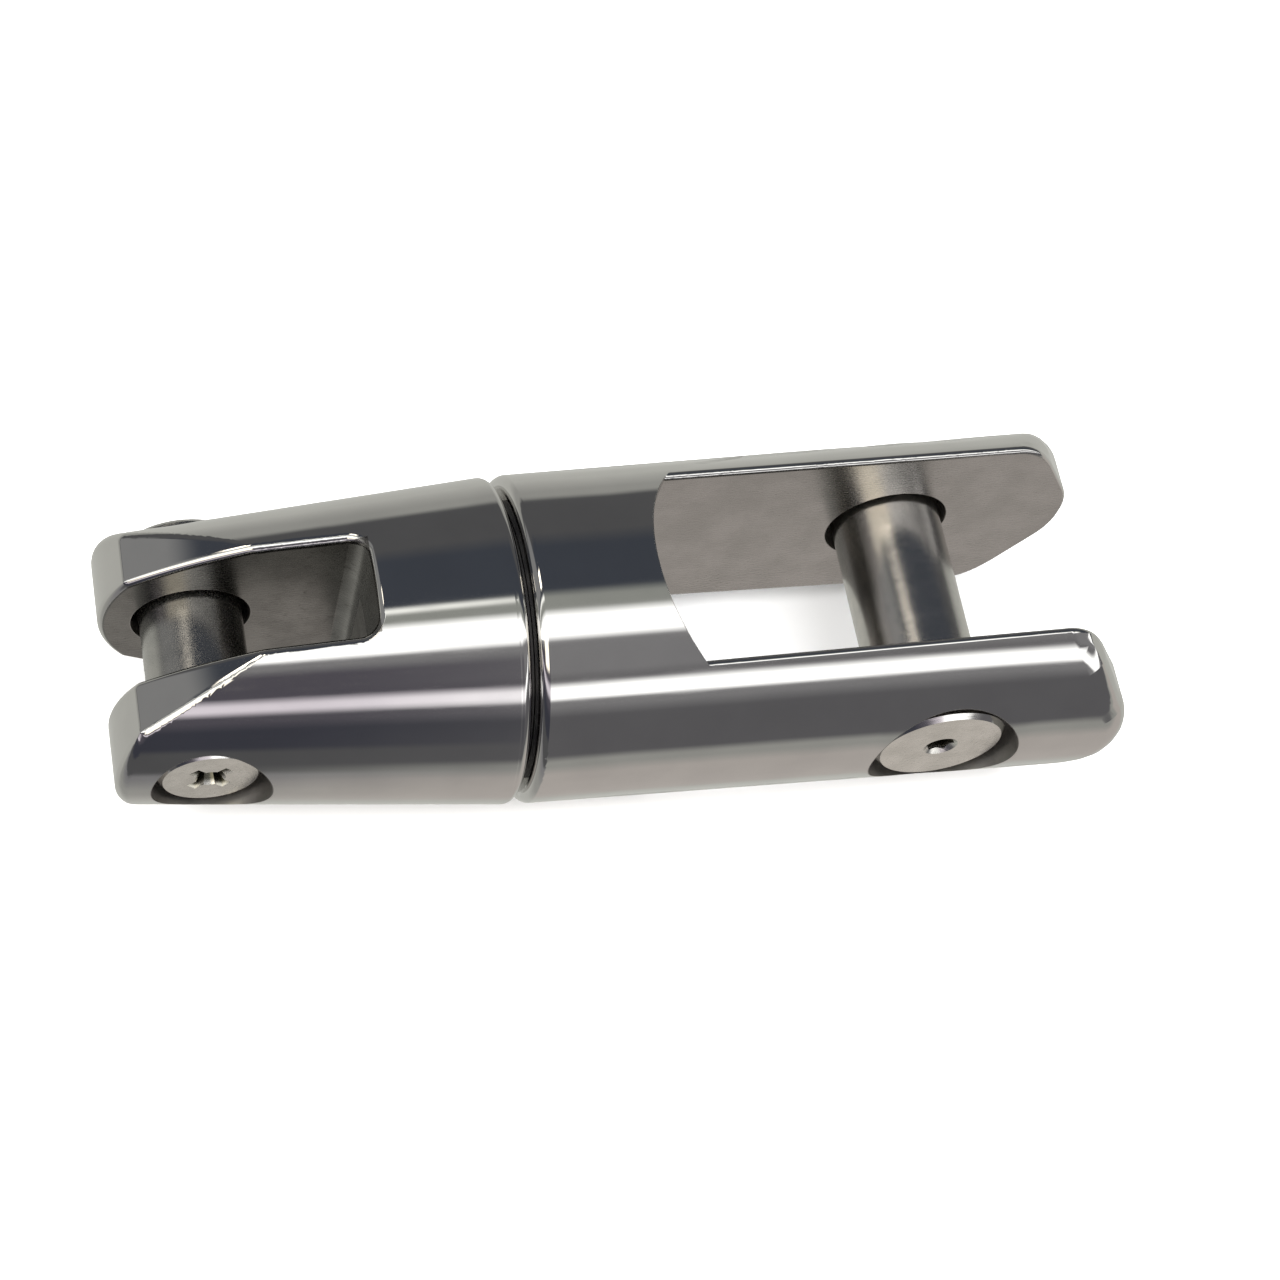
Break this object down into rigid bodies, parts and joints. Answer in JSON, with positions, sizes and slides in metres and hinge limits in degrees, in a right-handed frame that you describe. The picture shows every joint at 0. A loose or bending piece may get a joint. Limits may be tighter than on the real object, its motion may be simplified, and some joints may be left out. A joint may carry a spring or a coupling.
{
  "type": "anchor swivel",
  "caption": "Polished stainless anchor swivel: a tapered chain fork and a wide anchor fork that turn freely end to end, each with a removable cross pin.",
  "frame": {"origin": "centre of the anchor pin, on the swivel axis", "axes": "+X along the swivel axis from the chain fork towards the tip of the anchor fork, +Y along both cross pins from their screws towards their disc heads, +Z across the forks"},
  "size_m": [0.1057, 0.0362, 0.0344],
  "materials": {
    "mirror_polished_steel": "mirror polish",
    "turned_pin_steel": "fine turned",
    "screw_steel": "satin with bright rim",
    "bolt_steel": "machined",
    "bearing_bronze": "machined",
    "dark_acetal": "matte"
  },
  "bodies": {
    "anchor_fork": {"anchor_jaw": "mirror_polished_steel", "swivel_bush": "bearing_bronze", "head_washer": "bearing_bronze"},
    "chain_fork": {"chain_jaw": "mirror_polished_steel", "swivel_bolt": "bolt_steel", "seam_washer": "dark_acetal"},
    "chain_cross_pin": {"chain_pin": "turned_pin_steel"},
    "chain_cross_screw": {"chain_screw": "screw_steel"},
    "anchor_cross_pin": {"anchor_pin": "turned_pin_steel"},
    "anchor_cross_screw": {"anchor_screw": "screw_steel"}
  },
  "joints": [
    {"name": "swivel", "type": "hinge", "parent": "anchor_fork", "child": "chain_fork", "pos_m": [-0.0446, 0, 0], "axis": [1, 0, 0], "continuous": true},
    {"name": "chain_pin_pull", "type": "slide", "parent": "chain_fork", "child": "chain_cross_pin", "axis": [0, 1, 0], "range_m": [0, 0.035]},
    {"name": "chain_screw_out", "type": "slide", "parent": "chain_fork", "child": "chain_cross_screw", "axis": [0, -1, 0], "range_m": [0, 0.018]},
    {"name": "anchor_pin_pull", "type": "slide", "parent": "anchor_fork", "child": "anchor_cross_pin", "axis": [0, 1, 0], "range_m": [0, 0.045]},
    {"name": "anchor_screw_out", "type": "slide", "parent": "anchor_fork", "child": "anchor_cross_screw", "axis": [0, -1, 0], "range_m": [0, 0.018]}
  ]
}
